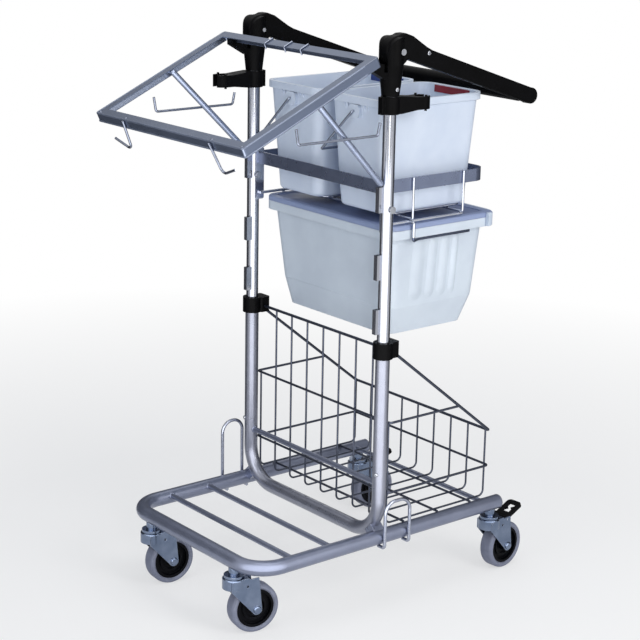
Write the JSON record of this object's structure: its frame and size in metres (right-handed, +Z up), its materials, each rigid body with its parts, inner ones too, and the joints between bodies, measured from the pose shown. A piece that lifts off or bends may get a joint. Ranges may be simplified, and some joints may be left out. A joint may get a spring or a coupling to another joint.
{
  "type": "cleaning trolley",
  "caption": "Cleaning trolley on swivel castors with a tube frame, wire basket, storage box, bucket rack, tilting bag holder and folding push handle.",
  "frame": {"origin": "floor level, under the middle of the trolley's footprint", "axes": "+Z up, +Y from the bag holder towards the push handle, +X to the right of someone at the bag end facing the handle"},
  "size_m": [0.478, 0.761, 1.1425],
  "materials": {
    "grey_powder_coat": "satin powder coat on steel tube",
    "grey_plug": "moulded plug",
    "bright_tube": "bright plated tube",
    "zinc_steel": "zinc plated pressed steel",
    "basket_wire": "plated wire",
    "grey_wire": "coated wire",
    "black_plastic": "moulded nylon",
    "hub_plastic": "moulded hub",
    "grey_tyre": "non-marking grey rubber",
    "screw_steel": "plated screws",
    "rack_wire": "plated flat bar and wire",
    "bucket_plastic": "pale moulded plastic",
    "bail_wire": "plated wire",
    "red_strip": "colour code strip",
    "blue_strip": "colour code strip",
    "box_plastic": "pale blue-grey moulded plastic",
    "lid_plastic": "blue-grey moulded plastic",
    "bag_frame_coat": "satin powder coat on steel angle",
    "hook_wire": "plated wire"
  },
  "bodies": {
    "chassis": {"base_frame": "grey_powder_coat", "basket_clamps": "black_plastic", "box_rails": "rack_wire", "castor_mounts": "zinc_steel", "handle_joint_left": "black_plastic", "handle_joint_right": "black_plastic", "handle_pivot_pins": "screw_steel", "hoop_cross_bar": "grey_powder_coat", "platform_slats": "grey_powder_coat", "post_left": "bright_tube", "post_pockets": "bright_tube", "post_right": "bright_tube", "rack_band": "rack_wire", "rack_cross_wires": "rack_wire", "rack_front_bar": "rack_wire", "rack_hanger_bolts": "screw_steel", "rack_hanger_plates": "rack_wire", "rack_side_rods": "rack_wire", "rack_tray_loops": "rack_wire", "rail_end_plugs": "grey_plug", "rear_cross_rod": "grey_powder_coat", "tool_loop_left": "grey_wire", "tool_loop_right": "grey_wire", "upright_feet": "grey_powder_coat", "upright_hoop": "grey_powder_coat", "wire_basket": "basket_wire"},
    "push_handle": {"handle_arm_left": "black_plastic", "handle_arm_right": "black_plastic", "handle_grip": "black_plastic"},
    "bag_holder": {"bag_frame": "bag_frame_coat", "bag_front_hooks": "hook_wire", "bag_rear_clips": "hook_wire", "bag_side_hooks": "hook_wire", "bag_struts": "bag_frame_coat"},
    "lift_bucket_right": {"bucket_right": "bucket_plastic", "strip_right": "red_strip"},
    "swing_bail_right": {"bail_right": "bail_wire"},
    "turn_clip_right": {"tool_clip_right": "black_plastic"},
    "lift_bucket_left": {"bucket_left": "bucket_plastic", "strip_left": "blue_strip"},
    "swing_bail_left": {"bail_left": "bail_wire"},
    "turn_clip_left": {"tool_clip_left": "black_plastic"},
    "slide_box": {"storage_box": "box_plastic"},
    "slide_lid": {"box_lid": "lid_plastic"},
    "castor_front_right": {"fork_front_right": "zinc_steel"},
    "wheel_front_right": {"hub_front_right": "hub_plastic", "tyre_front_right": "grey_tyre"},
    "castor_front_left": {"fork_front_left": "zinc_steel"},
    "wheel_front_left": {"hub_front_left": "hub_plastic", "tyre_front_left": "grey_tyre"},
    "castor_rear_right": {"fork_rear_right": "zinc_steel"},
    "wheel_rear_right": {"hub_rear_right": "hub_plastic", "tyre_rear_right": "grey_tyre"},
    "brake_rear_right": {"pedal_rear_right": "black_plastic"},
    "castor_rear_left": {"fork_rear_left": "zinc_steel"},
    "wheel_rear_left": {"hub_rear_left": "hub_plastic", "tyre_rear_left": "grey_tyre"},
    "brake_rear_left": {"pedal_rear_left": "black_plastic"}
  },
  "joints": [
    {"name": "swivel_front_right", "type": "hinge", "parent": "chassis", "child": "castor_front_right", "pos_m": [0.142, -0.31894, 0.118], "axis": [0, 0, 1], "continuous": true},
    {"name": "roll_front_right", "type": "hinge", "parent": "castor_front_right", "child": "wheel_front_right", "pos_m": [0.14963, -0.27968, 0.05], "axis": [-0.9816, 0.1908, 0], "continuous": true},
    {"name": "swivel_front_left", "type": "hinge", "parent": "chassis", "child": "castor_front_left", "pos_m": [-0.142, -0.31894, 0.118], "axis": [0, 0, 1], "continuous": true},
    {"name": "roll_front_left", "type": "hinge", "parent": "castor_front_left", "child": "wheel_front_left", "pos_m": [-0.13851, -0.27909, 0.05], "axis": [-0.9962, 0.0872, 0], "continuous": true},
    {"name": "swivel_rear_right", "type": "hinge", "parent": "chassis", "child": "castor_rear_right", "pos_m": [0.214, 0.29006, 0.118], "axis": [0, 0, 1], "continuous": true},
    {"name": "roll_rear_right", "type": "hinge", "parent": "castor_rear_right", "child": "wheel_rear_right", "pos_m": [0.21051, 0.32991, 0.05], "axis": [-0.9962, -0.0872, 0], "continuous": true},
    {"name": "brake_rear_right", "type": "hinge", "parent": "castor_rear_right", "child": "brake_rear_right", "pos_m": [0.21086, 0.32592, 0.11], "axis": [-0.9962, -0.0872, 0], "range_deg": [0, 14]},
    {"name": "swivel_rear_left", "type": "hinge", "parent": "chassis", "child": "castor_rear_left", "pos_m": [-0.214, 0.29006, 0.118], "axis": [0, 0, 1], "continuous": true},
    {"name": "roll_rear_left", "type": "hinge", "parent": "castor_rear_left", "child": "wheel_rear_left", "pos_m": [-0.21121, 0.32996, 0.05], "axis": [-0.9976, 0.0698, 0], "continuous": true},
    {"name": "brake_rear_left", "type": "hinge", "parent": "castor_rear_left", "child": "brake_rear_left", "pos_m": [-0.21149, 0.32597, 0.11], "axis": [-0.9976, 0.0698, 0], "range_deg": [0, 14]},
    {"name": "handle_fold", "type": "hinge", "parent": "chassis", "child": "push_handle", "pos_m": [0, -0.00894, 1.11], "axis": [1, 0, 0], "range_deg": [-15, 75]},
    {"name": "bag_holder_swing", "type": "hinge", "parent": "chassis", "child": "bag_holder", "pos_m": [0, -0.06494, 1.08831], "axis": [-1, 0, 0], "range_deg": [0, 75]},
    {"name": "bucket_lift_right", "type": "slide", "parent": "chassis", "child": "lift_bucket_right", "axis": [0, 0, 1], "range_m": [0, 0.085]},
    {"name": "bail_swing_right", "type": "hinge", "parent": "lift_bucket_right", "child": "swing_bail_right", "pos_m": [0.0986, 0.12206, 0.984], "axis": [0, 1, 0], "range_deg": [-6, 15]},
    {"name": "bucket_lift_left", "type": "slide", "parent": "chassis", "child": "lift_bucket_left", "axis": [0, 0, 1], "range_m": [0, 0.085]},
    {"name": "bail_swing_left", "type": "hinge", "parent": "lift_bucket_left", "child": "swing_bail_left", "pos_m": [-0.0986, 0.12206, 0.984], "axis": [0, 1, 0], "range_deg": [-6, 3]},
    {"name": "box_slide", "type": "slide", "parent": "chassis", "child": "slide_box", "axis": [0, 1, 0], "range_m": [0, 0.3]},
    {"name": "lid_slide", "type": "slide", "parent": "slide_box", "child": "slide_lid", "axis": [0, 1, 0], "range_m": [0, 0.26]},
    {"name": "tool_clip_turn_right", "type": "hinge", "parent": "chassis", "child": "turn_clip_right", "pos_m": [0.211, -0.01694, 1.0105], "axis": [0, 0, 1], "range_deg": [-180, 0]},
    {"name": "tool_clip_turn_left", "type": "hinge", "parent": "chassis", "child": "turn_clip_left", "pos_m": [-0.211, -0.01694, 1.0105], "axis": [0, 0, 1], "range_deg": [-175, 5]}
  ]
}
